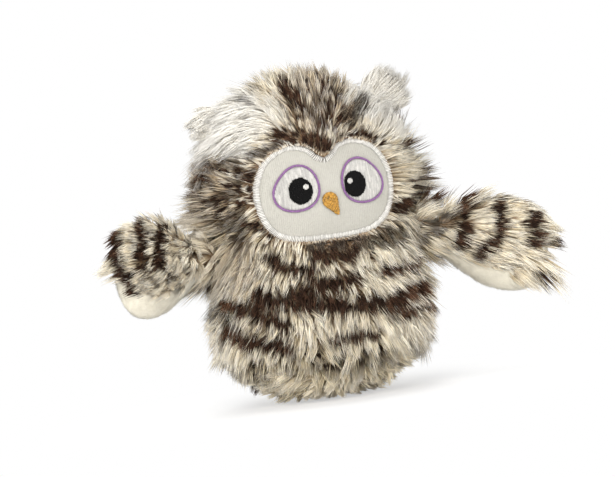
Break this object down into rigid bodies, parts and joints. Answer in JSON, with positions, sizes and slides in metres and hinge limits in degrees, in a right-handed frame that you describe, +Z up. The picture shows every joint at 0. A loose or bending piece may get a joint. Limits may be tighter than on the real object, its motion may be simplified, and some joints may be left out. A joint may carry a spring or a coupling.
{
  "type": "plush owl",
  "caption": "Plush owl with a rounded body that stands on a flat base, long barred fur, a felt face with embroidered eyes and beak, two wings that flap and two soft ear tufts.",
  "frame": {"origin": "centre of the flat patch under the base that the owl stands on", "axes": "+Z up, the owl faces -Y, and its own left wing is at +X"},
  "size_m": [0.236, 0.1036, 0.172],
  "materials": {
    "barred_fur": "long-pile faux fur, cream with dark brown bars",
    "snow_fur": "long-pile white faux fur",
    "smooth_plush": "short-pile cream plush",
    "face_felt": "off-white brushed felt",
    "white_satin": "white satin-stitch thread",
    "lilac_satin": "lilac satin-stitch thread",
    "black_satin": "black satin-stitch thread",
    "gold_satin": "gold satin-stitch thread",
    "fibre_fill": "white polyester fibre"
  },
  "bodies": {
    "body": {"base_panel": "barred_fur", "belly_panel": "barred_fur", "back_panel_left": "barred_fur", "back_panel_right": "barred_fur", "forehead_panel": "barred_fur", "nape_panel_left": "barred_fur", "nape_panel_right": "barred_fur", "body_filling": "fibre_fill", "face_patch": "face_felt", "face_border": "white_satin", "eye_ring_left": "lilac_satin", "eye_ring_right": "lilac_satin", "eye_white_left": "white_satin", "eye_white_right": "white_satin", "pupil_left": "black_satin", "pupil_right": "black_satin", "glint_left": "white_satin", "glint_right": "white_satin", "beak": "gold_satin"},
    "wing_root_left": {"wing_root_left": "barred_fur"},
    "wing_left": {"wing_fur_left": "barred_fur", "wing_lining_left": "smooth_plush", "wing_filling_left": "fibre_fill"},
    "wing_root_right": {"wing_root_right": "barred_fur"},
    "wing_right": {"wing_fur_right": "barred_fur", "wing_lining_right": "smooth_plush", "wing_filling_right": "fibre_fill"},
    "ear_left": {"ear_tuft_left": "snow_fur"},
    "ear_right": {"ear_tuft_right": "snow_fur"}
  },
  "joints": [
    {"name": "wing_left_sweep", "type": "hinge", "parent": "body", "child": "wing_root_left", "pos_m": [0.059, 0, 0.082], "axis": [0, 0, 1], "range_deg": [-25, 55], "stiffness_Nm_per_rad": 0.05},
    {"name": "wing_left_flap", "type": "hinge", "parent": "wing_root_left", "child": "wing_left", "pos_m": [0.059, 0, 0.082], "axis": [-0.5, -0.866, 0], "range_deg": [-38, 71], "stiffness_Nm_per_rad": 0.1},
    {"name": "wing_right_sweep", "type": "hinge", "parent": "body", "child": "wing_root_right", "pos_m": [-0.059, 0, 0.082], "axis": [0, 0, -1], "range_deg": [-15, 65], "stiffness_Nm_per_rad": 0.05},
    {"name": "wing_right_flap", "type": "hinge", "parent": "wing_root_right", "child": "wing_right", "pos_m": [-0.059, 0, 0.082], "axis": [-0.6428, 0.766, 0], "range_deg": [-54, 55], "stiffness_Nm_per_rad": 0.1},
    {"name": "ear_left_flop", "type": "hinge", "parent": "body", "child": "ear_left", "pos_m": [0.04606, 0, 0.15263], "axis": [0.6533, 0, -0.7571], "range_deg": [-25, 25], "stiffness_Nm_per_rad": 0.01},
    {"name": "ear_right_flop", "type": "hinge", "parent": "body", "child": "ear_right", "pos_m": [-0.04606, 0, 0.15263], "axis": [0.6533, 0, 0.7571], "range_deg": [-25, 25], "stiffness_Nm_per_rad": 0.01}
  ]
}
